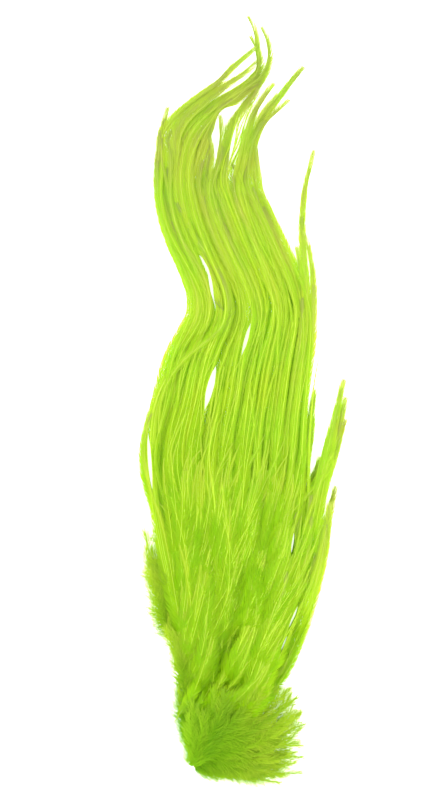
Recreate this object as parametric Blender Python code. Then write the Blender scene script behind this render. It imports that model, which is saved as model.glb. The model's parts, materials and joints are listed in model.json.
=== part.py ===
"""A dyed rooster saddle hackle: a dried patch of saddle skin with its long hackle feathers and down.

It lies on its skin, as it would on a table. +Y runs from the neck end of the skin to the feather
tips and +Z is up, off the table. Guide points are in millimetres: X from the middle of the patch,
Y from the neck end of the skin. The finished patch is then moved so that the bottom centre of its
box is the origin.
"""

import bpy
import numpy as np

MM = 0.001
NAME = "saddle_hackle"

SKIN_THICKNESS = 1.2
# What lies on something else keeps this far off it.
TOUCH_GAP = 0.3

# The skin's outline, from its neck end up the left side and back down the right one.
SKIN_OUTLINE = [
    (-25, 0), (-30, 9), (-32, 25), (-33, 45), (-34, 65), (-37, 82), (-42, 98), (-44, 114),
    (-42, 130), (-30, 138), (-12, 140), (4, 132), (12, 114), (13, 92), (11, 70), (8, 50),
    (3, 33), (-3, 18), (-9, 7), (-17, 2),
]

# The two sides of the long feathers' stream, as (Y, X).
LEFT_SIDE = [
    (0, -27), (20, -33), (50, -35), (85, -38), (120, -43), (145, -49), (160, -54), (175, -56),
    (190, -53), (205, -48.5), (220, -45), (235, -39), (248, -31), (258, -29.5), (270, -32.5),
    (285, -39.5), (300, -45.5), (318, -49), (335, -47), (350, -43),
]
RIGHT_SIDE = [
    (0, -8), (20, 2), (40, 14), (60, 23), (80, 30), (100, 33), (125, 35), (150, 36), (175, 37),
    (200, 38), (220, 40), (240, 42), (255, 41.5), (270, 37), (285, 30.5), (300, 24), (315, 17.5),
    (330, 12), (345, 9), (350, 9),
]
# The skin is narrower than the stream, so a lock is rooted at a lower share of the width than
# the share that it keeps once it has fanned out.
FAN_LENGTH = 72
ROOT_SHARE_LOW, ROOT_SHARE_SPAN = 0.05, 0.70

# Long locks: where on the skin they grow (Y), the share of the stream's width that they keep, and
# the points that they pass after they leave the stream, the tip last.
LONG_LOCKS = [
    (118, 0.08, [(-43, 349), (-36, 360), (-25, 369.5), (-14, 378), (-5, 387.5), (8.5, 399.5)]),
    (127, 0.12, [(-45, 338), (-43.5, 354), (-41, 366)]),
    (98, 0.06, [(-46.5, 330), (-45, 353)]),
    (108, 0.17, [(-35, 353), (-24, 366), (-12, 375.5), (-1, 383), (8, 391)]),
    (122, 0.22, [(-31, 350), (-19, 364), (-4, 374), (7.5, 383), (9, 394), (7.5, 406), (3.5, 416)]),
    (104, 0.28, [(-27, 349), (-16, 362), (-2, 372), (9, 380), (14, 389.5), (14.5, 399), (11, 410)]),
    (128, 0.33, [(-23, 348), (-13, 362), (0, 373), (8, 383.5), (8.5, 395), (4.5, 405)]),
    (112, 0.38, [(-20, 346), (-16, 356), (-8, 367), (2, 374), (10, 382)]),
    (124, 0.43, [(-17.5, 340), (-18, 350), (-14, 358.5), (-7, 367)]),
    (106, 0.49, [(-12, 341), (-11.5, 350), (-12, 361)]),
    (120, 0.55, [(-8.5, 342), (-7, 352), (-2.5, 361), (3, 369), (9, 380)]),
    (110, 0.61, [(-7.5, 342), (-5, 353), (-0.5, 362), (5, 371), (11.5, 382), (15, 393)]),
    (125, 0.67, [(-2, 342), (2, 356), (6, 366), (10.5, 373)]),
    (102, 0.72, [(1, 342), (4, 355), (8.5, 366), (17.5, 379)]),
    (121, 0.78, [(4, 342), (8, 354), (14.5, 364.5), (21, 372.5), (27, 380), (34, 388)]),
    (109, 0.84, [(6, 343), (9.5, 352.5), (15, 360), (26, 370)]),
    (116, 0.89, [(7, 336), (7, 346), (12, 358)]),
]

# Loose locks: thin ones that leave the stream at its sides.
LOOSE_LOCKS = [
    (66, 0.03, [(-53.3, 172), (-51.8, 187), (-46.5, 202), (-38, 218)]),
    (95, 0.91, [(35, 264), (33.5, 282), (33, 300), (34.5, 320), (39.5, 342)]),
    (90, 0.95, [(39, 268), (37.5, 284), (34, 297)]),
    (100, 0.87, [(33, 271), (30, 289)]),
]

# Middling locks: their tips lie within the stream.
MIDDLE_LOCKS = [
    (92, 0.31, [(-24, 302)]),
    (88, 0.69, [(2, 304)]),
    (80, 0.50, [(1, 270)]),
    (82, 0.83, [(21, 282)]),
    (74, 0.20, [(-18, 246)]),
    (76, 0.62, [(13, 244)]),
    (78, 0.93, [(38, 236)]),
    (70, 0.40, [(-11, 226)]),
]

# Short locks, rooted nearest the neck end, so that they lie on the others.
SHORT_LOCKS = [
    (54, 0.14, [(-40, 158)]),
    (50, 0.46, [(-11, 158)]),
    (52, 0.86, [(25, 150)]),
    (36, 0.24, [(-24, 118)]),
    (34, 0.66, [(10, 120)]),
]

# One lock that crosses the stream at its neck and swings back, from root to tip.
CROSSING_LOCK = [
    (-31, 62), (-38, 95), (-45, 130), (-50, 165), (-49, 195), (-42, 215), (-30, 229), (-16, 240),
    (-8.5, 251), (-9, 264), (-16, 279), (-27, 296), (-36, 313),
]

# Locks that fan out from the right side of the skin, from root to tip.
FAN_LOCKS = [
    [(6, 102), (21, 126), (31, 154), (36, 182), (40, 210)],
    [(4, 96), (17, 120), (30, 142), (38, 157), (43, 173)],
    [(5, 89), (17, 116), (28, 139), (39, 153), (47, 167), (52, 180), (57, 194)],
    [(8, 80), (22, 104), (34, 127), (42, 150), (48, 171), (53, 188), (57, 206)],
    [(8, 70), (20, 92), (31, 113), (39, 136), (44, 160), (49.5, 187), (56, 216)],
    [(6, 60), (14, 82), (22, 106), (28, 130), (32, 150)],
    [(8, 54), (21, 75), (32, 95), (39.5, 113), (45, 131), (49, 145), (51.5, 157)],
    [(4, 44), (14, 66), (24, 88), (31, 110), (36, 134), (38, 152)],
    [(6, 38), (18, 53), (27, 70), (35, 90), (40.5, 108), (44.5, 125), (48, 148)],
    [(0, 31), (9, 52), (16, 72), (22, 95), (26, 118)],
]

# Tufts of down, from root to tip. Those along the left side grow among the locks.
SIDE_TUFTS = [
    [(-39, 94), (-45, 112), (-48.5, 133)],
    [(-36, 75), (-42.5, 94), (-46.5, 113)],
    [(-29, 44), (-32.5, 66), (-38, 88)],
    [(-27, 15), (-29.5, 34), (-31, 56)],
]

# Those of the neck end lie over the rest. They fan out from the lowest round to the left side.
NECK_TUFTS = [
    [(-22, 3), (-7, 3), (8, -1)],
    [(-21, 4), (4, 2), (24, 0)],
    [(-20, 5), (8, 4), (33, 6)],
    [(-19, 7), (9, 9), (34, 15)],
    [(-18, 9), (9, 15), (33, 25)],
    [(-18, 11), (8, 21), (30, 35)],
    [(-19, 13), (5, 28), (26, 46)],
    [(-21, 12), (-4, 31), (11, 50)],
    [(-23, 10), (-15, 29), (-10, 47)],
    [(-26, 8), (-25, 26), (-25, 43)],
]

# Widths of a lock or tuft along its length, as shares of its widest: (share of length, width).
LOCK_WIDTHS = [(0, 0.32), (0.1, 0.62), (0.25, 0.95), (0.4, 1), (0.7, 0.86), (0.88, 0.5), (1, 0.05)]
TUFT_WIDTHS = [(0, 0.3), (0.3, 0.8), (0.65, 1), (0.85, 0.75), (1, 0.1)]

# Sections, as heights above and below the side edges for a half width of 1.
LOCK_ABOVE, LOCK_BELOW = 0.26, 0.10
TUFT_ABOVE, TUFT_BELOW = 0.26, 0.08

LONG_WIDTH, LOOSE_WIDTH, MIDDLE_WIDTH, SHORT_WIDTH = 9.0, 5.5, 10.0, 11.0
FAN_WIDTH, TUFT_WIDTH = 7.5, 13.0

# Distances between the points of each outline or route.
LOCK_STEP, TUFT_STEP, SKIN_STEP, STREAM_STEP, SIDE_STEP = 10.5, 6.0, 6.0, 12.0, 3.0
CURVE_SAMPLES = 24

# The grid of heights on which the locks are laid, and how finely a lock is laid on it.
GRID_CELL = 0.5
GRID_LOW = np.array([-75.0, -20.0])
GRID_HIGH = np.array([75.0, 430.0])
SAMPLES_PER_RING, SAMPLES_ACROSS = 12, 25


def smooth_points(points, step, closed=False):
    """Points about step apart on a Catmull-Rom curve through the given ones."""
    points = np.array(points, float)
    if closed:
        padded = np.vstack([points[-1], points, points[0], points[1]])
    else:
        padded = np.vstack([2 * points[0] - points[1], points, 2 * points[-1] - points[-2]])
    fine = []
    for a, b, c, d in zip(padded, padded[1:], padded[2:], padded[3:]):
        for t in np.linspace(0, 1, CURVE_SAMPLES, endpoint=False):
            bend = (2 * a - 5 * b + 4 * c - d) * t**2 + (3 * b - a - 3 * c + d) * t**3
            fine.append(b + 0.5 * ((c - a) * t + bend))
    if not closed:
        fine.append(points[-1])
    fine = np.array(fine)
    along = np.concatenate([[0], np.cumsum(np.linalg.norm(np.diff(fine, axis=0), axis=1))])
    count = max(int(round(along[-1] / step)), 3)
    stops = np.linspace(0, along[-1], count + 1)
    return np.stack([np.interp(stops, along, fine[:, k]) for k in range(fine.shape[1])], axis=1)


def stream_x(y, share):
    """The X of a point that lies this share of the way across the feathers' stream."""
    sides = (LEFT_SIDE, RIGHT_SIDE)
    left, right = (np.interp(y, *smooth_points(side, SIDE_STEP).T) for side in sides)
    return left + share * (right - left)


def stream_route(root_y, stream_share, exits):
    """The route of a lock from its root, along the stream, and out through its own last points."""
    root_share = ROOT_SHARE_LOW + ROOT_SHARE_SPAN * stream_share
    last_y = min(exits[0][1] - STREAM_STEP, LEFT_SIDE[-1][0] - STREAM_STEP)
    route = []
    for y in np.arange(root_y, last_y, STREAM_STEP):
        grown = min((y - root_y) / FAN_LENGTH, 1)
        eased = grown * (2 - grown)
        route.append((stream_x(y, root_share + eased * (stream_share - root_share)), y))
    return route + list(exits)


class Pile:
    """The height of what already lies on the table, on a grid, so that a lock can be laid on it."""

    def __init__(self):
        size = ((GRID_HIGH - GRID_LOW) / GRID_CELL).astype(int)
        self.height = np.zeros(size)

    def raise_inside(self, outline, height):
        """Fills an outline to a height, by the even-odd rule."""
        steps = [GRID_LOW[k] + GRID_CELL * np.arange(self.height.shape[k]) for k in (0, 1)]
        x, y = np.meshgrid(*steps, indexing="ij")
        inside = np.zeros(x.shape, bool)
        for (ax, ay), (bx, by) in zip(outline, np.roll(outline, -1, axis=0)):
            crosses = (ay > y) != (by > y)
            slope = (bx - ax) / (by - ay if by != ay else 1)
            inside ^= crosses & (x < ax + slope * (y - ay))
        self.height[inside] = height

    def lay(self, rings, half_widths, above, below):
        """Rests a ribbon on the pile, adds it, and gives the height of each ring's side edges."""
        stops = np.linspace(0, len(rings) - 1, (len(rings) - 1) * SAMPLES_PER_RING + 1)
        index = np.arange(len(rings))
        path = np.stack([np.interp(stops, index, rings[:, k]) for k in (0, 1)], axis=1)
        half = np.interp(stops, index, half_widths)
        forward = np.gradient(path, axis=0)
        forward /= np.linalg.norm(forward, axis=1, keepdims=True)
        side = np.stack([-forward[:, 1], forward[:, 0]], axis=1)
        across = np.linspace(-1, 1, SAMPLES_ACROSS)
        reach = (half + GRID_CELL)[:, None] * across
        spots = path[:, None] + side[:, None] * reach[..., None]
        cells = tuple(((spots - GRID_LOW) / GRID_CELL).astype(int).transpose(2, 0, 1))
        ridge = half[:, None] * (1 - np.abs(across))
        need = (self.height[cells] + TOUCH_GAP + below * ridge).max(axis=1)
        nearest = [need[abs(stops - i) <= 1].max() for i in index]
        edge = np.interp(stops, index, nearest)
        np.maximum.at(self.height, cells, edge[:, None] + above * ridge)
        return np.array(nearest)


def new_collection(name):
    """A collection in the scene."""
    collection = bpy.data.collections.new(name)
    bpy.context.scene.collection.children.link(collection)
    return collection


def material(name, colour, roughness):
    """A plain dyed surface."""
    made = bpy.data.materials.new(name)
    made.use_nodes = True
    shader = made.node_tree.nodes["Principled BSDF"]
    shader.inputs["Base Color"].default_value = (*colour, 1)
    shader.inputs["Roughness"].default_value = roughness
    shader.inputs["Metallic"].default_value = 0
    return made


def poly_curve(name, points, dimensions, closed):
    """A curve object of one straight-sided spline. Points are in metres."""
    curve = bpy.data.curves.new(name, "CURVE")
    curve.dimensions = dimensions
    spline = curve.splines.new("POLY")
    spline.points.add(len(points) - 1)
    for spot, point in zip(spline.points, points):
        spot.co = (*point, 1)
    spline.use_cyclic_u = closed
    return bpy.data.objects.new(name, curve)


def section(name, above, below, guides):
    """The diamond section of a ribbon for a half width of 1 mm: a ridge on top, as a quill makes."""
    corners = [(-1, 0), (0, above), (1, 0), (0, -below)]
    made = poly_curve(name, [(x * MM, y * MM, 0) for x, y in corners], "2D", closed=True)
    made.data.fill_mode = "NONE"
    made.hide_render = True
    made.display_type = "WIRE"
    guides.objects.link(made)
    return made


def ribbon(name, rings, heights, half_widths, profile, finish, parts, parent):
    """A tapering ribbon that follows its rings, flat side down."""
    points = [(x * MM, y * MM, z * MM) for (x, y), z in zip(rings, heights)]
    made = poly_curve(name, points, "3D", closed=False)
    made.data.twist_mode = "Z_UP"
    made.data.bevel_mode = "OBJECT"
    made.data.bevel_object = profile
    made.data.use_fill_caps = True
    for spot, half in zip(made.data.splines[0].points, half_widths):
        spot.radius = half
    made.data.materials.append(finish)
    made.parent = parent
    parts.objects.link(made)


def skin(outline, finish, parts, parent):
    """The flat patch of dried skin that everything grows from."""
    points = [(x * MM, y * MM, 0) for x, y in outline]
    made = poly_curve("saddle_skin", points, "2D", closed=True)
    made.data.fill_mode = "BOTH"
    made.data.extrude = SKIN_THICKNESS / 2 * MM
    made.location.z = SKIN_THICKNESS / 2 * MM
    made.data.materials.append(finish)
    made.parent = parent
    parts.objects.link(made)


def widths_along(table, widest, count):
    """The half width at each of count rings, from a table of shares."""
    shares, widths = zip(*table)
    return 0.5 * widest * np.interp(np.linspace(0, 1, count), shares, widths)


def laid_routes():
    """(kind, route, width) of every lock and tuft, in the order that they lie on each other."""
    routes = []
    for locks, width in ((LONG_LOCKS, LONG_WIDTH), (LOOSE_LOCKS, LOOSE_WIDTH),
                         (MIDDLE_LOCKS, MIDDLE_WIDTH), (SHORT_LOCKS, SHORT_WIDTH)):
        routes += [("hackle_lock", stream_route(*lock), width) for lock in locks]
    routes += [("hackle_lock", CROSSING_LOCK, LOOSE_WIDTH)]
    routes += [("hackle_lock", route, FAN_WIDTH) for route in FAN_LOCKS]
    routes += [("down_tuft", route, TUFT_WIDTH) for route in SIDE_TUFTS]
    rearmost_first = sorted(routes, key=lambda laid: -laid[1][0][1])
    return rearmost_first + [("down_tuft", route, TUFT_WIDTH) for route in NECK_TUFTS]


def centre_on_origin(parent):
    """Moves the patch so that the bottom centre of its box is the origin."""
    bpy.context.view_layer.update()
    graph = bpy.context.evaluated_depsgraph_get()
    corners = []
    for child in parent.children:
        shown = child.evaluated_get(graph)
        mesh = shown.to_mesh()
        corners += [shown.matrix_world @ vertex.co for vertex in mesh.vertices]
        shown.to_mesh_clear()
    corners = np.array(corners)
    low, high = corners.min(axis=0), corners.max(axis=0)
    parent.location = (-(low[0] + high[0]) / 2, -(low[1] + high[1]) / 2, -low[2])


def main():
    """Builds the whole patch in an empty scene."""
    for old in list(bpy.data.objects):
        bpy.data.objects.remove(old)
    parts, guides = new_collection(NAME), new_collection("guides")
    parent = bpy.data.objects.new(NAME + "_place", None)
    parts.objects.link(parent)

    skin_finish = material("dyed_skin", (0.42, 0.45, 0.10), 0.7)
    lock_finish = material("dyed_hackle", (0.43, 0.78, 0.03), 0.45)
    down_finish = material("dyed_down", (0.36, 0.62, 0.04), 0.8)
    kinds = {
        "hackle_lock": (LOCK_WIDTHS, LOCK_STEP, LOCK_ABOVE, LOCK_BELOW, lock_finish),
        "down_tuft": (TUFT_WIDTHS, TUFT_STEP, TUFT_ABOVE, TUFT_BELOW, down_finish),
    }
    profiles = {kind: section(kind + "_section", *kinds[kind][2:4], guides) for kind in kinds}

    outline = smooth_points(SKIN_OUTLINE, SKIN_STEP, closed=True)[:-1]
    skin(outline, skin_finish, parts, parent)
    pile = Pile()
    pile.raise_inside(outline, SKIN_THICKNESS)

    numbers = dict.fromkeys(kinds, 0)
    for kind, route, width in laid_routes():
        width_table, step, above, below, finish = kinds[kind]
        rings = smooth_points(route, step)
        half_widths = widths_along(width_table, width, len(rings))
        heights = pile.lay(rings, half_widths, above, below)
        numbers[kind] += 1
        name = f"{kind}_{numbers[kind]:02d}"
        ribbon(name, rings, heights, half_widths, profiles[kind], finish, parts, parent)

    centre_on_origin(parent)


main()
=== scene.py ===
"""The looks of a dyed rooster saddle hackle that lies on a white table, seen from straight above.

Each solid lock of the frame is replaced by the feathers that it stands for, each a quill with two
rows of barbs. Some feathers stray over their neighbours, and short soft ones cover the lock's root.
Each tuft is replaced by soft down, and the flat skin by a wrinkled hide. Lengths are in millimetres
until a mesh is made.
"""

import json

import bpy
import numpy as np
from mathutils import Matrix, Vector, noise
from mathutils.bvhtree import BVHTree

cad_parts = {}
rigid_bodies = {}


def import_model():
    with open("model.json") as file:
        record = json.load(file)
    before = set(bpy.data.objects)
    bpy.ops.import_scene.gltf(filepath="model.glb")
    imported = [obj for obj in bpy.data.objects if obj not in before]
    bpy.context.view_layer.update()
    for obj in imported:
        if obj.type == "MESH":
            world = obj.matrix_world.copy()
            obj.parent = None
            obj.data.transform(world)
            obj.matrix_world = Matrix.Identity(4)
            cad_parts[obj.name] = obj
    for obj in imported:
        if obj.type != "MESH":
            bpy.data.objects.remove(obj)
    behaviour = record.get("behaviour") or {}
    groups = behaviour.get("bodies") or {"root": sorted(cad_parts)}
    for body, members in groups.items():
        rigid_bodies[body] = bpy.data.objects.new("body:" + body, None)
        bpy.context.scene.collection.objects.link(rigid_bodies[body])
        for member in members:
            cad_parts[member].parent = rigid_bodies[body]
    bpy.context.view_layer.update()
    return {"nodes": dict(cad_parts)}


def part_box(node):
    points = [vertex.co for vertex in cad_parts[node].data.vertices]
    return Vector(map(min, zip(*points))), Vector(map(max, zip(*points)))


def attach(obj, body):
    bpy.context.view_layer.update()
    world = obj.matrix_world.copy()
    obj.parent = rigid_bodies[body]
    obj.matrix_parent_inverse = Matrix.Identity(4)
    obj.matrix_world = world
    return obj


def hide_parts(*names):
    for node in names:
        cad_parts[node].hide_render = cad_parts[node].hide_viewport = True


MM = 0.001
# Each piece's random numbers start from the letters of its name and one of these.
LOCK_SEED, TUFT_SEED = 7919, 104729

# Points on the patch are given from the neck end of its skin, and X so that this is its left side.
SKIN_LEFT = -44.0
# The photograph's frame: its middle on the patch and its height.
FRAME_MIDDLE = (-14.9, 204.5)
FRAME_HEIGHT = 441.1
CAMERA_DISTANCE = 2400.0
SENSOR = 36.0

# The distance between the points of a feather's way.
PATH_STEP = 1.0
# How many points to each side a lock's climbs over other locks are smoothed with, and the same for
# a feather that is laid on the solids.
CLIMB_REACH = 16
LAID_REACH = 8
# Nothing lies lower than this over the table.
LOWEST = 0.1

# Hackle feathers: the lock's half width for each, and how far they spread past the lock's sides.
WIDTH_PER_FEATHER = 0.50
SPREAD = 2.1
# How far to the side a feather sways, as a share of its lock's room, and the length of a wave.
SWAY = 0.35
WANDER_LENGTH = 70.0
# How much shorter than its lock the last feather is, as a share of the lock's length.
SHORTEST = 0.28
# Locks with a half width past this end among others, where their feathers fan out.
HIDDEN_TIP_HALF = 4.7
# How much of the colours from root to tip a feather runs through that ends among others.
HIDDEN_TIP_RIPENESS = 0.75

# Strays: one in so many feathers, its reach to the side as a share of its lock's room, its waves.
STRAY_EVERY = 4
STRAY_REACH = 1.3
STRAY_LENGTH = 110.0
# How far over the solids a stray lies, and over what length it climbs there.
STRAY_HEIGHT = 0.9
STRAY_CLIMB = 25.0
# How far before its tip it begins to sink, and how far from its root it would be down: it sinks
# only a very little.
STRAY_SINK = (30.0, 1000.0)
# How much of it may lie beside the solids, and how far it may be pushed aside for a gap.
STRAY_OUTSIDE = 0.03
STRAY_PUSHED = 1.5
# The shares of its reach that are tried in turn, until it meets both.
STRAY_TRIES = (1.0, 0.7, 0.45, 0.25, 0.1)

# Soft feathers that cover each lock's root: how many, what their random numbers start from, and
# the longest they can be.
SOFT_FEATHERS = 8
SOFT_SEED = 2
SOFT_LENGTH = 70.0
# How far behind the lock's root they start, so that they come out of the down.
SOFT_START = 10.0
# How far to each side of the lock they reach, as a share of its room: less where nothing lies there.
SOFT_REACH = 1.6
SOFT_REACH_OUTSIDE = 0.5
# How far to the right they lean for each millimetre of length, left of the patch's middle line.
SOFT_LEAN = 0.6
LEAN_LEFT, LEAN_RIGHT = -12.0, 8.0
# How far over the solids they lie, and over what length they climb there.
SOFT_HEIGHT = (0.3, 0.9)
SOFT_CLIMB = 16.0
# How far to each side they look for something to lie on, so that they bridge hollows.
BRIDGE = 3.0
# One in so many is sunk to a share of that height, and fills the room under the others.
SUNK_EVERY = 3
SUNK_TO = (0.15, 0.7)

# The half width of the vane, narrow and crisp towards the tip, broad and webby at the root.
VANE_HALF = 2.3
WEB_HALF = 5.0
WEB_LENGTH = 85.0
# The vane's half width along a feather: shares of the feather's length, then of that half width.
VANE = ((0, 0.6, 0.9, 0.97, 1), (1, 0.9, 0.95, 0.8, 0.3))
HIDDEN_TIP_VANE = ((0, 0.5, 0.8, 1), (1, 0.8, 0.4, 0.1))
# How wide a soft feather is at its root, as a share of that, and for a sunk one.
SOFT_ROOT, SUNK_ROOT = 0.45, 1.0
BARB_SPACING = 1.05
BARB_WIDTH = 0.4
# Angles between the barbs and the quill, in degrees.
VANE_SLANT, WEB_SLANT, TIP_SLANT = 20.0, 36.0, 11.0
# How far the two sides of a vane slope down from the quill, and how far it rolls, in radians.
ROOF, ROLL = 0.06, 0.12
QUILL_RADIUS = 0.2
# How many points of a feather's way there are to each ring of its quill.
QUILL_STEP = 6.0
# The length of a feather's quill that is bare at its root.
BARE_LENGTH = 2.5

# Down: the quills in a tuft, how far they rise over its solid's sides, and the barbs of each.
TUFT_QUILLS = 14
DOWN_QUILL_RADIUS = 0.16
DOWN_RISE = 2.6
DOWN_BARB_SPACING = 0.5
DOWN_BARB_LENGTH = 10.5
DOWN_BARB_WIDTH = 0.27
DOWN_BARB_JOINTS = 4
# Every second quill is sunk to a share of its height.
DOWN_SUNK_TO = (0.2, 0.9)
# Tufts that root past this height are the fringe on the left, with longer barbs.
FRINGE_FROM, FRINGE_LONGER = 50.0, 1.35
# How far behind a tuft's root its down begins, so that it covers the end of the skin.
ROOT_OVERLAP = 4.0
# Where the down is greenest, how far all of that green reaches, and how far any of it.
GREEN_MIDDLE = (-22.0, 24.0)
GREEN_WITHIN, GREEN_REACH = 12.0, 36.0

# The skin: the size of its mesh's squares and the distance between follicles.
HIDE_GRID = 0.7
FOLLICLE_SPACING = 3.2

# The lights: where they hang, in metres, and their power.
LIGHTS = {"key_light": ((-0.7, 0.5, 1.6), 16.0), "fill_light": ((0.9, -0.4, 1.5), 12.0)}
LIGHT_SIZE = 1.4
WORLD_STRENGTH = 1.2
TABLE_GLOW = 0.7

# Gaps between the feathers through which the table shows: both ends and the half width.
GAPS = [
    ((-14.5, 223), (-20.5, 200), 2.0),
    ((4.5, 246), (0, 230), 1.0),
    ((-18.5, 277), (-16, 260), 0.8),
    ((-14.5, 358), (-14.3, 337), 0.9),
    ((-3.5, 355), (-7, 336), 0.8),
    ((-52, 187), (-49.5, 154), 1.0),
    ((28.5, 132), (27, 120), 0.6),
    ((30.5, 91), (25.5, 78), 0.9),
    ((25, 76), (21, 66), 0.6),
]
# The length over which feathers come back to their own way before and after a gap, and the least
# of it, as a share of the gap's length.
GAP_FADE = 14.0
GAP_FADE_SHARE = 0.45
# What lies on a gap's other side is moved for it in full up to the nearer of these distances from
# its middle line, and not at all past the farther one.
GAP_FAR, GAP_NEAR = -12.0, -5.0


def on_patch(point):
    """A point given on the patch, in the row frame, in millimetres."""
    return skin_corner + (point[0] - SKIN_LEFT, point[1])


def smooth_between(values, low, high):
    """0 below low, 1 above high, and smooth in between."""
    share = np.clip((values - low) / (high - low), 0, 1)
    return share * share * (3 - 2 * share)


def ribbon_rings(name):
    """The rings of four corners that make a lock's or tuft's solid, root first."""
    mesh = frame["nodes"][name].data
    spots = np.empty(len(mesh.vertices) * 3, np.float32)
    mesh.vertices.foreach_get("co", spots)
    spots = spots.reshape(-1, 3) / MM
    welded, owner = np.unique(np.round(spots, 3), axis=0, return_inverse=True)
    owner = owner.reshape(-1)
    near = [set() for _ in welded]
    for face in mesh.polygons:
        corners = {int(owner[v]) for v in face.vertices}
        for corner in corners:
            near[corner] |= corners - {corner}
    spread = np.linalg.norm(welded[:, None] - welded[None], axis=2)
    tip = int(np.argmin(np.sort(spread, axis=1)[:, 3]))
    ring = set(np.argsort(spread[tip])[:4].tolist())
    rings, seen = [], set()
    while ring:
        rings.append(welded[sorted(ring)])
        seen |= ring
        ring = set().union(*(near[corner] for corner in ring)) - seen
    return rings[::-1]


def ribbon_path(name):
    """A ribbon's middle line, at the height of its side edges, and its half width at each ring."""
    middles, halves = [], []
    for ring in ribbon_rings(name):
        ring = ring[np.argsort(ring[:, 2])]
        sides = ring[1:3]
        middles.append(sides.mean(axis=0))
        halves.append(np.linalg.norm(sides[0, :2] - sides[1, :2]) / 2)
    return np.array(middles), np.array(halves)


def smooth_line(points, values, step):
    """A Catmull-Rom curve through the points, with the values carried along it."""
    data = np.column_stack([points, values])
    padded = np.vstack([2 * data[0] - data[1], data, 2 * data[-1] - data[-2]])
    fine = []
    for a, b, c, d in zip(padded, padded[1:], padded[2:], padded[3:]):
        for t in np.linspace(0, 1, 8, endpoint=False):
            bend = (2 * a - 5 * b + 4 * c - d) * t**2 + (3 * b - a - 3 * c + d) * t**3
            fine.append(b + 0.5 * ((c - a) * t + bend))
    fine = np.array(fine + [data[-1]])
    along = np.concatenate([[0], np.cumsum(np.linalg.norm(np.diff(fine[:, :3], axis=0), axis=1))])
    stops = np.linspace(0, along[-1], max(int(along[-1] / step), 4) + 1)
    return np.stack([np.interp(stops, along, column) for column in fine.T], axis=1)


def soften(values, reach):
    """A moving mean that keeps the ends."""
    padded = np.pad(values, reach, mode="edge")
    kernel = np.hanning(2 * reach + 3)[1:-1]
    return np.convolve(padded, kernel / kernel.sum(), mode="valid")


def frames_along(path):
    """Forward, sideways (to the left) and upward directions along a path."""
    forward = np.gradient(path, axis=0)
    forward /= np.linalg.norm(forward, axis=1, keepdims=True)
    side = np.cross([0.0, 0.0, 1.0], forward)
    side /= np.linalg.norm(side, axis=1, keepdims=True)
    return forward, side, np.cross(forward, side)


def wander(rng, count, waves, size):
    """A smooth random run of numbers: a few knots joined by cosines."""
    knots = rng.uniform(-size, size, waves + 2)
    at = np.linspace(0, waves + 0.999, count)
    left = at.astype(int)
    ease = (1 - np.cos(np.pi * (at - left))) / 2
    return knots[left] * (1 - ease) + knots[left + 1] * ease


def solid_faces():
    """All solids of the frame as one tree of faces."""
    spots, faces = [], []
    for solid in frame["nodes"].values():
        start = len(spots)
        spots += [vertex.co.copy() for vertex in solid.data.vertices]
        faces += [[start + corner for corner in face.vertices] for face in solid.data.polygons]
    return BVHTree.FromPolygons(spots, faces)


def tops_below(spots):
    """The height of the highest solid under each point, or below nought where there is none."""
    down = Vector((0, 0, -1))
    hits = [solids.ray_cast(Vector((x * MM, y * MM, 0.1)), down)[0] for x, y in spots[:, :2]]
    return np.array([-1.0 if hit is None else hit.z / MM for hit in hits])


class Shape:
    """Collects blades and tubes into one mesh, with the numbers that the materials read."""

    LABELS = ("along", "across", "web", "tint")

    def __init__(self):
        self.spots, self.uvs, self.corners, self.sizes, self.slots = [], [], [], [], []
        self.numbers = {label: [] for label in self.LABELS}
        self.count = 0
        # How much of the colours from root to tip its feathers run through.
        self.ripeness = 1.0

    def add(self, spots, faces, along, across, web, tint, uv, slot):
        """Adds vertices, and lists of faces as rows of vertex numbers."""
        for rows in faces:
            self.corners.append((rows + self.count).reshape(-1))
            self.sizes.append(np.full(len(rows), rows.shape[1]))
            self.slots.append(np.full(len(rows), slot))
        values_by_label = (along * self.ripeness, across, web, np.full(len(spots), tint))
        for label, values in zip(self.LABELS, values_by_label):
            self.numbers[label].append(values)
        self.spots.append(spots)
        self.uvs.append(uv)
        self.count += len(spots)

    def build(self, name, materials):
        """Makes the object."""
        corners, sizes = np.concatenate(self.corners), np.concatenate(self.sizes)
        mesh = bpy.data.meshes.new(name)
        mesh.vertices.add(self.count)
        mesh.vertices.foreach_set("co", (np.concatenate(self.spots) * MM).astype(np.float32).ravel())
        mesh.loops.add(len(corners))
        mesh.loops.foreach_set("vertex_index", corners.astype(np.int32))
        mesh.polygons.add(len(sizes))
        starts = np.concatenate([[0], np.cumsum(sizes)[:-1]])
        mesh.polygons.foreach_set("loop_start", starts.astype(np.int32))
        mesh.polygons.foreach_set("material_index", np.concatenate(self.slots).astype(np.int32))
        mesh.update(calc_edges=True)
        for label, values in self.numbers.items():
            layer = mesh.attributes.new(label, "FLOAT", "POINT")
            layer.data.foreach_set("value", np.concatenate(values).astype(np.float32))
        uv = mesh.uv_layers.new(name="OFBake")
        uv.data.foreach_set("uv", np.concatenate(self.uvs)[corners].astype(np.float32).ravel())
        mesh.shade_smooth()
        for material in materials:
            mesh.materials.append(material)
        made = bpy.data.objects.new(name, mesh)
        bpy.context.scene.collection.objects.link(made)
        return made


def gap_sides(path):
    """The side of each gap, 1 or -1, that a feather passes."""
    sides = []
    for start, end, _ in GAPS:
        start, end = on_patch(start), on_patch(end)
        axis = (end - start) / np.linalg.norm(end - start)
        away = path[:, :2] - start
        share = away @ axis / np.linalg.norm(end - start)
        beside = away @ np.array([-axis[1], axis[0]])
        within = (share > 0) & (share < 1)
        sides.append(1 if within.any() and beside[within].mean() > 0 else -1)
    return sides


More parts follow.
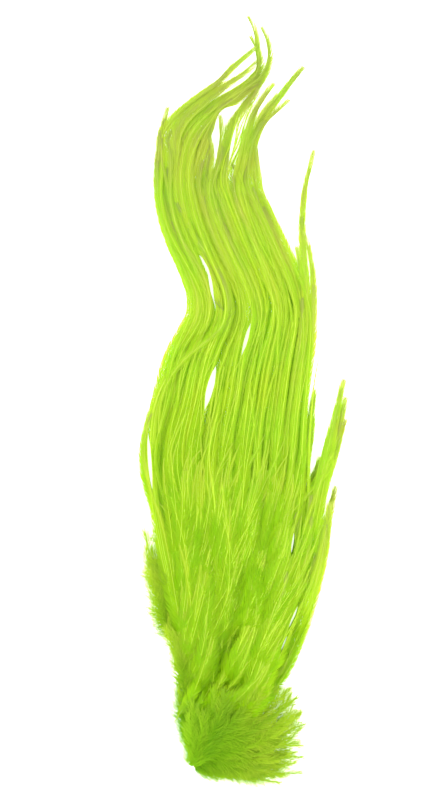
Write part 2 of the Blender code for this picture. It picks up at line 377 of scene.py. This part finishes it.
def keep_gaps_open(spots, sides):
    """Moves what lies over a gap, or past it, to the side that its feather passes."""
    moved = spots.copy()
    for (start, end, opening), hand in zip(GAPS, sides):
        start, end = on_patch(start), on_patch(end)
        length = np.linalg.norm(end - start)
        axis = (end - start) / length
        across = hand * np.array([-axis[1], axis[0]])
        away = moved[:, :2] - start
        share, beside = away @ axis / length, away @ across
        width = opening * np.sin(np.pi * np.clip(share, 0, 1)) ** 0.8
        pushed = 0.5 * (beside + width + np.sqrt((beside - width) ** 2 + 0.3))
        fade = max(GAP_FADE_SHARE, GAP_FADE / length)
        near = smooth_between(share, 0.1 - fade, 0.1) * (1 - smooth_between(share, 0.9, 0.9 + fade))
        near = near * smooth_between(beside, GAP_FAR, GAP_NEAR)
        moved[:, :2] += (near * (pushed - beside))[:, None] * across
    return moved


def add_quill(shape, path, radius, tint, strip):
    """A four-sided tapering quill along a path."""
    keep = np.unique(np.linspace(0, len(path) - 1, max(int(len(path) / QUILL_STEP), 4)).astype(int))
    points = path[keep]
    size = radius[keep]
    _, side, up = frames_along(points)
    turns = [(1, 0), (0, 1), (-1, 0), (0, -1)]
    rings = np.stack([points + size[:, None] * (a * side + b * up) for a, b in turns], axis=1)
    count = len(points)
    base = 4 * np.arange(count - 1)[:, None]
    faces = []
    for k in range(4):
        after = (k + 1) % 4
        faces.append(np.hstack([base + k, base + after, base + 4 + after, base + 4 + k]))
    along = np.repeat(keep / (len(path) - 1), 4)
    uv = np.column_stack([along, np.full(4 * count, strip[0])])
    shape.add(rings.reshape(-1, 3), [np.vstack(faces)], along, np.zeros(4 * count),
              np.zeros(4 * count), tint, uv, 1)


def carried(path, values, at):
    """Rows of values at lengths along a path."""
    return np.stack([np.interp(at, path, column) for column in values.T], axis=1)


def length_along(path):
    """The length from a path's first point to each of its points."""
    return np.concatenate([[0], np.cumsum(np.linalg.norm(np.diff(path, axis=0), axis=1))])


def add_barbs(shape, rng, path, half, web, tint, strip, sides):
    """Both rows of a feather's barbs: thin blades that sweep towards its tip.

    half is the vane's half width along the path and web how webby it is there, from 0 to 1. strip
    is the feather's own band of the texture: its middle and its half width.
    """
    along = length_along(path)
    total = along[-1]
    forward, side, up = frames_along(path)
    roll = wander(rng, len(path), max(int(total / 40), 2), ROLL)
    count = int((total - BARE_LENGTH) / BARB_SPACING)
    for hand in (1, -1):
        at = BARE_LENGTH + (np.arange(count) + rng.uniform(0, 1, count)) * BARB_SPACING
        at = np.minimum(at, total - 0.3)
        share = at / total
        root, ahead, left, above = (carried(along, rows, at) for rows in (path, forward, side, up))
        soft = np.interp(at, along, web)
        turn = (np.interp(at, along, roll) - hand * ROOF)[:, None]
        out = hand * (np.cos(turn) * left + np.sin(turn) * above)
        lift = np.cross(ahead, out) * hand
        bunch = wander(rng, count, max(count // 9, 1), 1.0)
        slant = VANE_SLANT + (WEB_SLANT - VANE_SLANT) * soft
        slant = np.radians(slant + (TIP_SLANT - slant) * smooth_between(share, 0.8, 1))
        slant = slant * (1 + 0.10 * bunch + rng.normal(0, 0.04, count))
        reach = np.interp(at, along, half) * (1 + 0.10 * bunch + rng.normal(0, 0.05, count))
        length = np.minimum(reach / np.sin(slant), (total - at) / np.cos(slant) + 0.8)
        blade = BARB_WIDTH * (1 + 0.5 * soft) * np.interp(share, [0, 0.8, 1], [1, 1, 0.6])
        tilt = (0.16 * wander(rng, count, max(count // 6, 1), 1.0) + rng.normal(0, 0.07, count))[:, None]
        droop = 0.04 + 0.10 * soft * (1 + rng.normal(0, 0.8, count))
        spine = []
        for t in (0.0, 0.5, 1.0):
            advance = length * (t * np.cos(slant) + 0.10 * t * t)
            outward = length * np.sin(slant) * (t - 0.12 * t * t)
            spine.append(root + advance[:, None] * ahead + outward[:, None] * out
                         - (droop * length * t * t)[:, None] * lift)
        direction = np.cos(slant)[:, None] * ahead + np.sin(slant)[:, None] * out
        flat = np.cos(tilt) * np.cross(lift, direction) + np.sin(tilt) * lift
        wide = 0.5 * blade[:, None] * flat
        spots = np.stack([spine[0] - wide, spine[0] + wide, spine[1] - wide * 0.9,
                          spine[1] + wide * 0.9, spine[2]], axis=1).reshape(-1, 3)
        spots = keep_gaps_open(spots, sides)
        spots[:, 2] = np.maximum(spots[:, 2], LOWEST)
        base = 5 * np.arange(count)[:, None]
        across = np.tile([0, 0, 0.5, 0.5, 1.0], count)
        shares = np.repeat(share, 5)
        uv = np.column_stack([shares, strip[0] + hand * across * strip[1]])
        shape.add(spots, [np.hstack([base, base + 1, base + 3, base + 2]),
                          np.hstack([base + 2, base + 3, base + 4])],
                  shares, across, np.repeat(soft, 5), tint, uv, 0)


def bridged_tops(spots):
    """The height of the highest solid under or a little beside each point."""
    beside = [(0, 0), (BRIDGE, 0), (-BRIDGE, 0), (0, BRIDGE), (0, -BRIDGE)]
    tops = [tops_below(spots[:, :2] + offset) for offset in beside]
    return np.maximum(np.max(tops, axis=0), 0)


def laid_on(route, tops, climb, sink=None):
    """Lifts a feather's way to new heights over a climb from its root.

    sink is how far before its tip it begins to come down, and how far from its root it would be down.
    """
    from_root = length_along(route)
    near = smooth_between(from_root, 0, climb)
    if sink:
        near = near * (1 - smooth_between(from_root, from_root[-1] - sink[0], sink[1]))
    route[:, 2] = soften(route[:, 2] * (1 - near) + tops * near, LAID_REACH)
    return route


def stray_route(rng, path, side, room, place, end):
    """The way of a feather that strays over its neighbours, yet not off the patch."""
    waves = int(max(len(path) * PATH_STEP / STRAY_LENGTH, 1))
    sway = wander(rng, len(path), waves, STRAY_REACH)
    for narrower in STRAY_TRIES:
        lateral = room * (place * min(narrower * 1.5, 1) + sway * narrower)
        route = (path + lateral[:, None] * side)[:end]
        tops = tops_below(route)
        pushed = np.abs(keep_gaps_open(route, gap_sides(route)) - route).max()
        if np.mean(tops < 0) < STRAY_OUTSIDE and pushed < STRAY_PUSHED:
            break
    over = np.where(tops < 0, route[:, 2], tops) + STRAY_HEIGHT
    return laid_on(route, over, STRAY_CLIMB, STRAY_SINK)


def soft_route(rng, route, sunk):
    """The way of a soft feather, from behind its root up onto what lies under it."""
    backward = (route[0] - route[4]) / 4
    start = route[0] + np.linspace(SOFT_START, 1, int(SOFT_START))[:, None] * backward
    route = np.vstack([start, route])
    over = bridged_tops(route) + rng.uniform(*SOFT_HEIGHT)
    if sunk:
        over = over * rng.uniform(*SUNK_TO)
    return laid_on(route, over, SOFT_CLIMB)


def soft_reaches(path, side, room):
    """How far to the right and to the left of a lock its soft feathers reach."""
    beside = np.array([path[5] + hand * SOFT_REACH * room[5] * side[5] for hand in (-1, 1)])
    return np.where(tops_below(beside) < 0, SOFT_REACH_OUTSIDE, SOFT_REACH)


def soft_lean(path):
    """How far to the right a lock's soft feathers lean, for each millimetre of length."""
    from_left = path[0, 0] - on_patch((0, 0))[0]
    return SOFT_LEAN * (1 - smooth_between(from_left, LEAN_LEFT, LEAN_RIGHT))


def lock_room(half, hidden_tip):
    """How far from a lock's middle line its feathers lie, at each of its points."""
    taper = np.ones(len(half)) if hidden_tip else (1 - np.linspace(0, 1, len(half))) ** 0.7
    room = (half.max() if hidden_tip else half) - 0.4 * VANE_HALF
    return np.maximum(room + SPREAD * np.minimum(half.max() / 4, 1) * taper, 0.3)


def vane_half(shares, web, size, hidden_tip):
    """The half width of a feather's vane at shares of its length."""
    stops, widths = HIDDEN_TIP_VANE if hidden_tip else VANE
    vane = VANE_HALF * size * np.interp(shares, stops, widths)
    return vane + (WEB_HALF - VANE_HALF) * web * np.interp(shares, [0, 0.1], [0.4, 1])


def lock_piece(name, materials):
    """The feathers of one lock, and then the soft ones that cover its root."""
    seed = sum(map(ord, name)) * LOCK_SEED
    rng = np.random.default_rng(seed)
    middles, halves = ribbon_path(name)
    line = smooth_line(middles, halves, PATH_STEP)
    path, half = line[:, :3], np.maximum(line[:, 3], 0.2)
    path[:, 2] = soften(path[:, 2], CLIMB_REACH)
    count = len(path)
    length = count * PATH_STEP
    share = np.linspace(0, 1, count)
    _, side, up = frames_along(path)
    shape = Shape()
    number = int(round(half.max() / WIDTH_PER_FEATHER))
    order = rng.permutation(number)
    lock_hides_tips = half.max() > HIDDEN_TIP_HALF
    room = lock_room(half, lock_hides_tips)
    waves = int(max(length / WANDER_LENGTH, 1))
    lean = soft_lean(path)
    reach_right, reach_left = soft_reaches(path, side, room)
    for k in range(number + SOFT_FEATHERS):
        soft = k >= number
        sunk = soft and k % SUNK_EVERY == 0
        stray = not soft and k % STRAY_EVERY == STRAY_EVERY - 1
        hidden_tip = lock_hides_tips or soft
        shape.ripeness = HIDDEN_TIP_RIPENESS if hidden_tip else 1.0
        if k == number:
            rng = np.random.default_rng(seed + SOFT_SEED)
        reach = 1 - SHORTEST * (k / number) ** 1.5 - rng.uniform(0, 0.02) * (k > 0)
        if soft:
            reach = min(SOFT_LENGTH / length, 0.6) * rng.uniform(0.5, 1)
            place = rng.uniform(-reach_right, reach_left)
        else:
            place = ((2 * order[k] + 1) / number - 1) * (1 if k else 0.2)
        end = max(int(count * reach), 8)
        sway = wander(rng, count, waves, SWAY)
        if soft:
            sweep = lean * rng.uniform(0.2, 1) * share * (1 - 0.5 * share) * length
            lateral = room * (place + sway) - sweep
        else:
            lateral = room * np.clip(place + sway, -1.05, 1.05)
        rise = 0.12 * half * (1 - min(abs(place), 1)) + rng.uniform(0.0, 0.35) * (1 - share ** 3)
        rise = rise - 0.35 * place ** 2
        route = (path + lateral[:, None] * side + rise[:, None] * up)[:end]
        if stray:
            route = stray_route(rng, path, side, room, place, end)
        if soft:
            route = soft_route(rng, route, sunk)
        sides = gap_sides(route)
        route = keep_gaps_open(route, sides)
        route[:, 2] = np.maximum(route[:, 2], LOWEST + QUILL_RADIUS)
        along = length_along(route)
        web_length = along[-1] if soft else min(WEB_LENGTH, 0.55 * along[-1])
        web = 1 - smooth_between(along, 0.25 * web_length, web_length)
        size = rng.uniform(0.85, 1.1) * (1 - 0.2 * min(abs(place), 1) ** 2) * (0.85 if stray else 1)
        shares = along / along[-1]
        vane = vane_half(shares, web, size, hidden_tip)
        if soft:
            vane = vane * np.interp(shares, [0, 0.3], [SUNK_ROOT if sunk else SOFT_ROOT, 1])
        tint = rng.uniform(0, 1)
        strip = ((k + 0.5) / (number + SOFT_FEATHERS), 0.46 / (number + SOFT_FEATHERS))
        add_quill(shape, route, QUILL_RADIUS * np.linspace(1, 0.35, len(route)), tint, strip)
        add_barbs(shape, rng, route, vane, web, tint, strip, sides)
    return shape.build(name + "_feathers", materials)


def tuft_piece(name, materials):
    """The down of one tuft: short limp quills with long soft barbs."""
    rng = np.random.default_rng(sum(map(ord, name)) * TUFT_SEED)
    middles, halves = ribbon_path(name)
    line = smooth_line(middles, halves, 0.5)
    path, half = line[:, :3], line[:, 3]
    path[:, 2] = soften(path[:, 2], 12)
    behind = (path[0] - path[4]) / np.linalg.norm(path[0] - path[4])
    path = np.vstack([path[0] + np.linspace(ROOT_OVERLAP, 0.5, 8)[:, None] * behind, path])
    count = len(path)
    _, side, up = frames_along(path)
    shape = Shape()
    fringe = path[0, 1] - on_patch((0, 0))[1] > FRINGE_FROM
    barb_length = DOWN_BARB_LENGTH * (FRINGE_LONGER if fringe else 1)
    for k in range(TUFT_QUILLS):
        end = int(count * (1 - 0.45 * rng.uniform(0, 1) ** 1.5))
        place = (2 * k + 1) / TUFT_QUILLS - 1
        spread = half.max() * np.linspace(0.35, 1.12, count)
        lateral = spread * np.clip(place + wander(rng, count, 3, 0.35), -1, 1)
        rise = rng.uniform(0, DOWN_RISE)
        route = (path + lateral[:, None] * side + rise * up)[:end]
        if k % 2:
            route[:, 2] *= rng.uniform(*DOWN_SUNK_TO)
        tint = rng.uniform(0, 1)
        strip = ((k + 0.5) / TUFT_QUILLS, 0.46 / TUFT_QUILLS)
        add_quill(shape, route, DOWN_QUILL_RADIUS * np.linspace(1, 0.3, end), tint, strip)
        add_down(shape, rng, route, barb_length, tint, strip)
    return shape.build(name + "_down", materials)


def add_down(shape, rng, path, barb_length, tint, strip):
    """Long soft barbs on both sides of a down feather's quill, each a limp thread of its own."""
    along = length_along(path)
    forward, side, up = frames_along(path)
    count = int(along[-1] / DOWN_BARB_SPACING)
    steps = np.linspace(0, 1, DOWN_BARB_JOINTS + 1)
    for hand in (1, -1):
        at = (np.arange(count) + rng.uniform(0, 1, count)) * DOWN_BARB_SPACING
        share = at / along[-1]
        root, ahead, left, above = (carried(along, rows, at) for rows in (path, forward, side, up))
        waves = max(count // 7, 1)
        bunch = wander(rng, count, waves, 1.0)
        slant = np.interp(share, [0, 0.7, 1], [50, 36, 16]) + 16 * bunch + rng.normal(0, 5, count)
        slant = np.radians(slant)
        raised = 0.10 + 0.30 * wander(rng, count, waves, 1.0) + rng.normal(0, 0.05, count)
        length = barb_length * (0.85 + 0.2 * bunch) * rng.uniform(0.7, 1.05, count)
        length *= np.interp(share, [0, 0.15, 0.7, 1], [0.6, 1.0, 0.9, 0.45])
        curl = 0.3 * wander(rng, count, waves, 1.0) + rng.normal(0.15, 0.12, count)
        sway = rng.normal(0, 0.05, count)
        spine = []
        for t in steps:
            angle = slant - curl * t
            advance = length * t * np.cos(angle)
            outward = length * t * np.sin(angle) * hand
            lift = length * (raised * t - 0.18 * t * t + sway * np.sin(3.5 * t))
            spine.append(root + advance[:, None] * ahead + outward[:, None] * left
                         + lift[:, None] * above)
        spine = np.stack(spine, axis=1)
        spine[..., 2] = np.maximum(spine[..., 2], LOWEST)
        flat = np.cross(above, spine[:, 1] - spine[:, 0])
        flat /= np.linalg.norm(flat, axis=1, keepdims=True)
        turn = rng.uniform(-0.8, 0.8, count)[:, None]
        flat = np.cos(turn) * flat + np.sin(turn) * above
        width = DOWN_BARB_WIDTH * (1 - 0.5 * steps[:-1])
        wide = 0.5 * width[None, :, None] * flat[:, None]
        stem = spine[:, :-1]
        rails = np.stack([stem - wide, stem + wide], axis=2).reshape(count, -1, 3)
        spots = np.concatenate([rails, spine[:, -1:]], axis=1)
        each = 2 * DOWN_BARB_JOINTS + 1
        base = each * np.arange(count)[:, None]
        quads = [np.hstack([base + 2 * j, base + 2 * j + 1, base + 2 * j + 3, base + 2 * j + 2])
                 for j in range(DOWN_BARB_JOINTS - 1)]
        last = base + 2 * (DOWN_BARB_JOINTS - 1)
        across = np.tile(np.concatenate([np.repeat(steps[:-1], 2), [1.0]]), count)
        shares = np.repeat(share, each)
        uv = np.column_stack([shares, strip[0] + hand * across * strip[1]])
        shape.add(spots.reshape(-1, 3), [np.vstack(quads), np.hstack([last, last + 1, last + 2])],
                  shares, across, np.ones(len(shares)), tint, uv, 0)


def noise_at(spots, scale, offset):
    """Smooth noise between -1 and 1 at points in millimetres, with waves of about the scale."""
    return np.array([noise.noise(Vector(spot) / scale + Vector((offset, 0, 0))) for spot in spots])


def hide_piece(name, material):
    """The dried skin: its solid's own outline, wrinkled, with rows of raised follicles."""
    made = bpy.data.objects.new("dried_hide", frame["nodes"][name].data.copy())
    bpy.context.scene.collection.objects.link(made)
    rounded = made.modifiers.new("fine grid", "REMESH")
    rounded.mode = "VOXEL"
    rounded.voxel_size = HIDE_GRID * MM
    mesh = bpy.data.meshes.new_from_object(made.evaluated_get(bpy.context.evaluated_depsgraph_get()))
    made.modifiers.clear()
    made.data = mesh
    spots = np.empty(len(mesh.vertices) * 3, np.float32)
    mesh.vertices.foreach_get("co", spots)
    spots = spots.reshape(-1, 3) / MM
    flat = spots * (1, 1, 0)
    wrinkle = 0.18 * np.abs(noise_at(flat, 5.0, 0)) + 0.12 * noise_at(flat, 2.0, 9)
    low, high = spots[:, 2].min(), spots[:, 2].max()
    upper = (spots[:, 2] - low) / (high - low)
    row, column = spots[:, 1] / FOLLICLE_SPACING, spots[:, 0] / FOLLICLE_SPACING
    column = column + 0.5 * (np.floor(row) % 2)
    away = np.hypot(row % 1 - 0.5, column % 1 - 0.5)
    bump = 0.3 * np.exp(-(away / 0.2) ** 2)
    spots[:, 2] += upper * (bump - wrinkle - 0.1) + (1 - upper) * 0.5 * np.abs(wrinkle)
    spots[:, 0] += 0.25 * noise_at(flat, 3.0, 21)
    mesh.vertices.foreach_set("co", (spots * MM).astype(np.float32).ravel())
    mesh.shade_smooth()
    mesh.materials.clear()
    mesh.materials.append(material)
    return made


def new_material(name):
    """An empty node material: the material, its node tree and its output node."""
    made = bpy.data.materials.new(name)
    made.use_nodes = True
    tree = made.node_tree
    tree.nodes.clear()
    output = tree.nodes.new("ShaderNodeOutputMaterial")
    return made, tree, output


def ramp(tree, source, stops):
    """A colour ramp over a value."""
    node = tree.nodes.new("ShaderNodeValToRGB")
    ramp_stops = node.color_ramp.elements
    while len(ramp_stops) < len(stops):
        ramp_stops.new(0.5)
    for stop, (at, colour) in zip(ramp_stops, stops):
        stop.position = at
        stop.color = (*colour, 1)
    tree.links.new(source, node.inputs["Fac"])
    return node.outputs["Color"]


def attribute(tree, name):
    """The number that a mesh carries under a name."""
    node = tree.nodes.new("ShaderNodeAttribute")
    node.attribute_type = "GEOMETRY"
    node.attribute_name = name
    return node.outputs["Fac"]


def mix_colour(tree, blend, amount, first, second):
    """Mixes two colours."""
    node = tree.nodes.new("ShaderNodeMix")
    node.data_type = "RGBA"
    node.blend_type = blend
    for socket, value in ((node.inputs["Factor"], amount), (node.inputs["A"], first),
                          (node.inputs["B"], second)):
        if isinstance(value, bpy.types.NodeSocket):
            tree.links.new(value, socket)
        elif isinstance(value, tuple):
            socket.default_value = (*value, 1)
        else:
            socket.default_value = value
    return node.outputs["Result"]


def leafy(tree, output, colour, through_colour, roughness, through):
    """A thin keratin surface: a satin front that lets some light through."""
    front = tree.nodes.new("ShaderNodeBsdfPrincipled")
    tree.links.new(colour, front.inputs["Base Color"])
    front.inputs["Roughness"].default_value = roughness
    front.inputs["Specular IOR Level"].default_value = 0.2
    back = tree.nodes.new("ShaderNodeBsdfTranslucent")
    tree.links.new(through_colour, back.inputs["Color"])
    mix = tree.nodes.new("ShaderNodeMixShader")
    mix.inputs["Fac"].default_value = through
    tree.links.new(front.outputs["BSDF"], mix.inputs[1])
    tree.links.new(back.outputs["BSDF"], mix.inputs[2])
    tree.links.new(mix.outputs["Shader"], output.inputs["Surface"])


def uneven_dye(tree, colour, size, second, amount):
    """Lets a second colour into the first in soft patches of about a size in millimetres."""
    place = tree.nodes.new("ShaderNodeTexCoord")
    patches = tree.nodes.new("ShaderNodeTexNoise")
    patches.inputs["Scale"].default_value = 1 / (size * MM)
    patches.inputs["Detail"].default_value = 2
    tree.links.new(place.outputs["Object"], patches.inputs["Vector"])
    share = tree.nodes.new("ShaderNodeMapRange")
    share.inputs["From Min"].default_value = 0.42
    share.inputs["From Max"].default_value = 0.68
    share.inputs["To Max"].default_value = amount
    tree.links.new(patches.outputs["Fac"], share.inputs["Value"])
    return mix_colour(tree, "MIX", share.outputs["Result"], colour, second)


def barb_material():
    """Dyed hackle barbs: lime, greener where they are webby, yellower and then duller at the tip."""
    made, tree, output = new_material("dyed_barbs")
    crisp = ramp(tree, attribute(tree, "along"), [
        (0.0, (0.50, 0.74, 0.008)), (0.4, (0.57, 0.78, 0.020)), (0.75, (0.66, 0.81, 0.055)),
        (0.92, (0.60, 0.68, 0.09)), (1.0, (0.44, 0.46, 0.12))])
    crisp = uneven_dye(tree, crisp, 30, (0.48, 0.82, 0.03), 0.5)
    webby = mix_colour(tree, "MIX", attribute(tree, "web"), crisp, (0.44, 0.72, 0.006))
    tint = ramp(tree, attribute(tree, "tint"), [
        (0.0, (0.88, 0.96, 0.90)), (0.5, (0.96, 0.98, 0.95)), (1.0, (1.0, 0.96, 1.0))])
    colour = mix_colour(tree, "MULTIPLY", 1.0, webby, tint)
    glow = mix_colour(tree, "MIX", 0.2, colour, (0.62, 0.87, 0.03))
    leafy(tree, output, colour, glow, 0.45, 0.6)
    return made


def quill_material():
    """Quills: the same dye on harder keratin, green at the root and yellower above it."""
    made, tree, output = new_material("dyed_quill")
    base = ramp(tree, attribute(tree, "along"), [
        (0.0, (0.44, 0.72, 0.008)), (0.5, (0.58, 0.78, 0.03)), (1.0, (0.52, 0.62, 0.07))])
    front = tree.nodes.new("ShaderNodeBsdfPrincipled")
    tree.links.new(base, front.inputs["Base Color"])
    front.inputs["Roughness"].default_value = 0.3
    tree.links.new(front.outputs["BSDF"], output.inputs["Surface"])
    return made


def down_material():
    """Down: deeper green at its root and near the neck end, yellower at the ends of its barbs."""
    made, tree, output = new_material("dyed_down")
    inner = ramp(tree, attribute(tree, "along"), [
        (0.0, (0.23, 0.50, 0.003)), (0.45, (0.34, 0.59, 0.009)), (1.0, (0.46, 0.66, 0.022))])
    ends = ramp(tree, attribute(tree, "along"), [
        (0.0, (0.40, 0.61, 0.012)), (1.0, (0.60, 0.74, 0.06))])
    colour = mix_colour(tree, "MIX", attribute(tree, "across"), inner, ends)
    place = tree.nodes.new("ShaderNodeTexCoord")
    away = tree.nodes.new("ShaderNodeVectorMath")
    away.operation = "DISTANCE"
    away.inputs[1].default_value = (*(on_patch(GREEN_MIDDLE) * MM), 0)
    tree.links.new(place.outputs["Object"], away.inputs[0])
    near = tree.nodes.new("ShaderNodeMapRange")
    near.inputs["From Min"].default_value = GREEN_REACH * MM
    near.inputs["From Max"].default_value = GREEN_WITHIN * MM
    near.inputs["To Max"].default_value = 0.75
    tree.links.new(away.outputs["Value"], near.inputs["Value"])
    colour = mix_colour(tree, "MIX", near.outputs["Result"], colour, (0.25, 0.58, 0.003))
    tint = ramp(tree, attribute(tree, "tint"), [
        (0.0, (0.74, 0.84, 0.80)), (0.5, (0.96, 0.97, 0.95)), (1.0, (1.0, 1.0, 1.0))])
    colour = mix_colour(tree, "MULTIPLY", 1.0, colour, tint)
    leafy(tree, output, colour, colour, 0.7, 0.45)
    return made


def skin_material():
    """Dried skin: dull dyed leather, blotched and finely grained."""
    made, tree, output = new_material("dried_skin")
    place = tree.nodes.new("ShaderNodeTexCoord")
    blotch = tree.nodes.new("ShaderNodeTexNoise")
    blotch.inputs["Scale"].default_value = 90
    blotch.inputs["Detail"].default_value = 6
    tree.links.new(place.outputs["Object"], blotch.inputs["Vector"])
    colour = ramp(tree, blotch.outputs["Fac"], [
        (0.3, (0.24, 0.34, 0.012)), (0.55, (0.33, 0.50, 0.015)), (0.75, (0.42, 0.58, 0.05))])
    grain = tree.nodes.new("ShaderNodeTexNoise")
    grain.inputs["Scale"].default_value = 900
    grain.inputs["Detail"].default_value = 4
    tree.links.new(place.outputs["Object"], grain.inputs["Vector"])
    bump = tree.nodes.new("ShaderNodeBump")
    bump.inputs["Strength"].default_value = 0.4
    bump.inputs["Distance"].default_value = 0.0003
    tree.links.new(grain.outputs["Fac"], bump.inputs["Height"])
    front = tree.nodes.new("ShaderNodeBsdfPrincipled")
    tree.links.new(colour, front.inputs["Base Color"])
    tree.links.new(bump.outputs["Normal"], front.inputs["Normal"])
    front.inputs["Roughness"].default_value = 0.6
    tree.links.new(front.outputs["BSDF"], output.inputs["Surface"])
    return made


def stage():
    """The white table, the lights and the camera."""
    bpy.ops.mesh.primitive_plane_add(size=6, location=(0, 0, 0))
    floor = bpy.context.object
    floor.name = "table_top"
    made, tree, output = new_material("white_table")
    shader = tree.nodes.new("ShaderNodeBsdfPrincipled")
    shader.inputs["Base Color"].default_value = (0.93, 0.93, 0.93, 1)
    shader.inputs["Roughness"].default_value = 0.9
    shader.inputs["Specular IOR Level"].default_value = 0.0
    shader.inputs["Emission Color"].default_value = (1, 1, 1, 1)
    shader.inputs["Emission Strength"].default_value = TABLE_GLOW
    tree.links.new(shader.outputs["BSDF"], output.inputs["Surface"])
    floor.data.materials.append(made)

    world = bpy.data.worlds.new("studio")
    world.use_nodes = True
    background = world.node_tree.nodes["Background"]
    background.inputs["Color"].default_value = (1, 1, 1, 1)
    background.inputs["Strength"].default_value = WORLD_STRENGTH
    bpy.context.scene.world = world

    for name, (place, power) in LIGHTS.items():
        light = bpy.data.lights.new(name, "AREA")
        light.size = LIGHT_SIZE
        light.energy = power
        lamp = bpy.data.objects.new(name, light)
        lamp.location = place
        direction = -lamp.location
        lamp.rotation_euler = direction.to_track_quat("-Z", "Y").to_euler()
        bpy.context.scene.collection.objects.link(lamp)

    camera = bpy.data.objects.new("camera", bpy.data.cameras.new("camera"))
    camera.data.sensor_width = SENSOR
    camera.data.lens = SENSOR * CAMERA_DISTANCE / FRAME_HEIGHT
    camera.data.clip_end = 100
    aim = on_patch(FRAME_MIDDLE)
    camera.location = (aim[0] * MM, aim[1] * MM, CAMERA_DISTANCE * MM)
    bpy.context.scene.collection.objects.link(camera)
    bpy.context.scene.camera = camera
    bpy.context.scene.view_settings.view_transform = "Standard"


for old in list(bpy.data.objects):
    bpy.data.objects.remove(old)
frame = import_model()
skin_corner = np.array(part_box("saddle_skin")[0])[:2] / MM
solids = solid_faces()

barbs, quills, fluff, hide = barb_material(), quill_material(), down_material(), skin_material()
# In each piece slot 0 is for barbs and slot 1 for quills, and down has one material for both.
for node in sorted(frame["nodes"]):
    if node.startswith("hackle_lock"):
        piece = lock_piece(node, [barbs, quills])
    elif node.startswith("down_tuft"):
        piece = tuft_piece(node, [fluff, fluff])
    else:
        piece = hide_piece(node, hide)
    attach(piece, "root")
    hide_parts(node)

stage()
